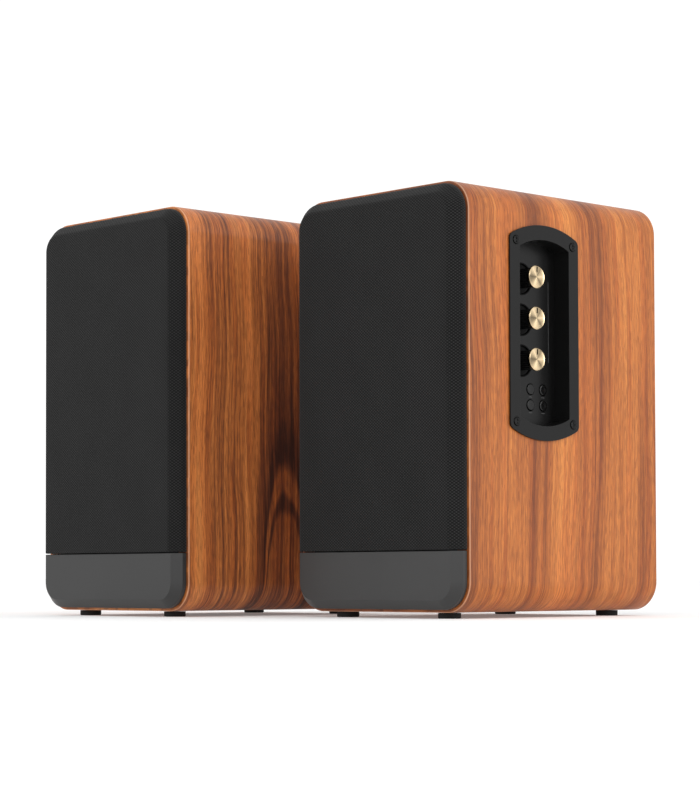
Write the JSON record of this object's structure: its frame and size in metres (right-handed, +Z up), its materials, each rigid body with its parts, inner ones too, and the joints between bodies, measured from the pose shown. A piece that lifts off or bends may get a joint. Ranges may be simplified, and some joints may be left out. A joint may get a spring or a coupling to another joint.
{
  "type": "desktop speakers",
  "caption": "Pair of walnut-cased desktop speakers with dark cloth grilles; one holds the amplifier and side knobs, the other is passive.",
  "frame": {"origin": "on the desk, under the middle of the pair's bounding box", "axes": "+Z up, -Y towards the listener, +X from the passive speaker to the active one"},
  "size_m": [0.3268, 0.2436, 0.2535],
  "materials": {
    "walnut_vinyl": "satin walnut-grain vinyl",
    "black_board": "painted black",
    "grille_cloth": "woven",
    "moulded_grey": "satin",
    "black_plastic": "fine texture",
    "gloss_black": "polished",
    "spun_brass": "spun, with fine rings",
    "black_steel": "blackened",
    "pressed_steel": "satin black",
    "ferrite": "rough",
    "paper_cone": "pressed paper",
    "rubber": "matte",
    "silk_dome": "coated",
    "aluminium_plate": "brushed, dark",
    "circuit_board": "solder mask",
    "transformer_steel": "laminated"
  },
  "bodies": {
    "active_speaker": {"active_cabinet": "walnut_vinyl", "active_front_baffle": "black_board", "active_rear_board": "black_board", "active_foot_front_left": "rubber", "active_foot_front_right": "rubber", "active_foot_rear_left": "rubber", "active_foot_rear_right": "rubber", "active_trim_bar": "moulded_grey", "active_woofer_basket": "pressed_steel", "active_woofer_surround": "rubber", "active_woofer_magnet": "ferrite", "active_tweeter_body": "black_plastic", "active_tweeter_dome": "silk_dome", "active_port_tube": "black_plastic", "active_link_socket": "black_plastic", "active_control_bezel": "black_plastic", "active_bezel_screw_top_front": "black_steel", "active_bezel_screw_top_rear": "black_steel", "active_bezel_screw_bottom_front": "black_steel", "active_bezel_screw_bottom_rear": "black_steel", "active_control_board": "circuit_board", "active_amp_plate": "aluminium_plate", "active_power_inlet": "black_plastic", "active_switch_housing": "black_plastic", "active_input_sockets": "black_plastic", "active_amp_board": "circuit_board", "active_transformer": "transformer_steel"},
    "passive_speaker": {"passive_cabinet": "walnut_vinyl", "passive_front_baffle": "black_board", "passive_rear_board": "black_board", "passive_foot_front_left": "rubber", "passive_foot_front_right": "rubber", "passive_foot_rear_left": "rubber", "passive_foot_rear_right": "rubber", "passive_trim_bar": "moulded_grey", "passive_woofer_basket": "pressed_steel", "passive_woofer_surround": "rubber", "passive_woofer_magnet": "ferrite", "passive_tweeter_body": "black_plastic", "passive_tweeter_dome": "silk_dome", "passive_port_tube": "black_plastic", "passive_link_socket": "black_plastic", "passive_crossover": "circuit_board"},
    "volume_knob": {"active_volume_knob": "black_plastic", "active_volume_knob_cap": "spun_brass"},
    "treble_knob": {"active_treble_knob": "black_plastic", "active_treble_knob_cap": "spun_brass"},
    "bass_knob": {"active_bass_knob": "black_plastic", "active_bass_knob_cap": "spun_brass"},
    "power_button": {"active_power_button": "gloss_black"},
    "source_button": {"active_source_button": "gloss_black"},
    "previous_button": {"active_previous_button": "gloss_black"},
    "next_button": {"active_next_button": "gloss_black"},
    "switch_rocker": {"active_switch_rocker": "gloss_black"},
    "active_woofer_cone": {"active_woofer_cone": "paper_cone"},
    "passive_woofer_cone": {"passive_woofer_cone": "paper_cone"},
    "active_grille": {"active_grille_frame": "black_plastic", "active_grille_cloth": "grille_cloth"},
    "passive_grille": {"passive_grille_frame": "black_plastic", "passive_grille_cloth": "grille_cloth"}
  },
  "joints": [
    {"name": "passive_speaker_placing", "type": "slide", "parent": "active_speaker", "child": "passive_speaker", "axis": [-1, 0, 0], "range_m": [0, 0.3]},
    {"name": "volume_knob_turn", "type": "hinge", "parent": "active_speaker", "child": "volume_knob", "pos_m": [0.16115, 0.0008, 0.2005], "axis": [1, 0, 0], "range_deg": [-150, 150]},
    {"name": "treble_knob_turn", "type": "hinge", "parent": "active_speaker", "child": "treble_knob", "pos_m": [0.16115, 0.0008, 0.1762], "axis": [1, 0, 0], "range_deg": [-150, 150]},
    {"name": "bass_knob_turn", "type": "hinge", "parent": "active_speaker", "child": "bass_knob", "pos_m": [0.16115, 0.0008, 0.1519], "axis": [1, 0, 0], "range_deg": [-150, 150]},
    {"name": "power_button_press", "type": "slide", "parent": "active_speaker", "child": "power_button", "axis": [-1, 0, 0], "range_m": [0, 0.0005], "stiffness_N_per_m": 400, "springref_m": -0.0005},
    {"name": "source_button_press", "type": "slide", "parent": "active_speaker", "child": "source_button", "axis": [-1, 0, 0], "range_m": [0, 0.0005], "stiffness_N_per_m": 400, "springref_m": -0.0005},
    {"name": "previous_button_press", "type": "slide", "parent": "active_speaker", "child": "previous_button", "axis": [-1, 0, 0], "range_m": [0, 0.0005], "stiffness_N_per_m": 400, "springref_m": -0.0005},
    {"name": "next_button_press", "type": "slide", "parent": "active_speaker", "child": "next_button", "axis": [-1, 0, 0], "range_m": [0, 0.0005], "stiffness_N_per_m": 400, "springref_m": -0.0005},
    {"name": "power_switch_rock", "type": "hinge", "parent": "active_speaker", "child": "switch_rocker", "pos_m": [0.11415, 0.1108, 0.0495], "axis": [1, 0, 0], "range_deg": [0, 18]},
    {"name": "active_woofer_travel", "type": "slide", "parent": "active_speaker", "child": "active_woofer_cone", "axis": [0, -1, 0], "range_m": [-0.0025, 0.0025], "stiffness_N_per_m": 800},
    {"name": "active_grille_removal", "type": "slide", "parent": "active_speaker", "child": "active_grille", "axis": [0, -1, 0], "range_m": [0, 0.03]},
    {"name": "passive_woofer_travel", "type": "slide", "parent": "passive_speaker", "child": "passive_woofer_cone", "axis": [0, -1, 0], "range_m": [-0.0025, 0.0025], "stiffness_N_per_m": 800},
    {"name": "passive_grille_removal", "type": "slide", "parent": "passive_speaker", "child": "passive_grille", "axis": [0, -1, 0], "range_m": [0, 0.03]}
  ]
}
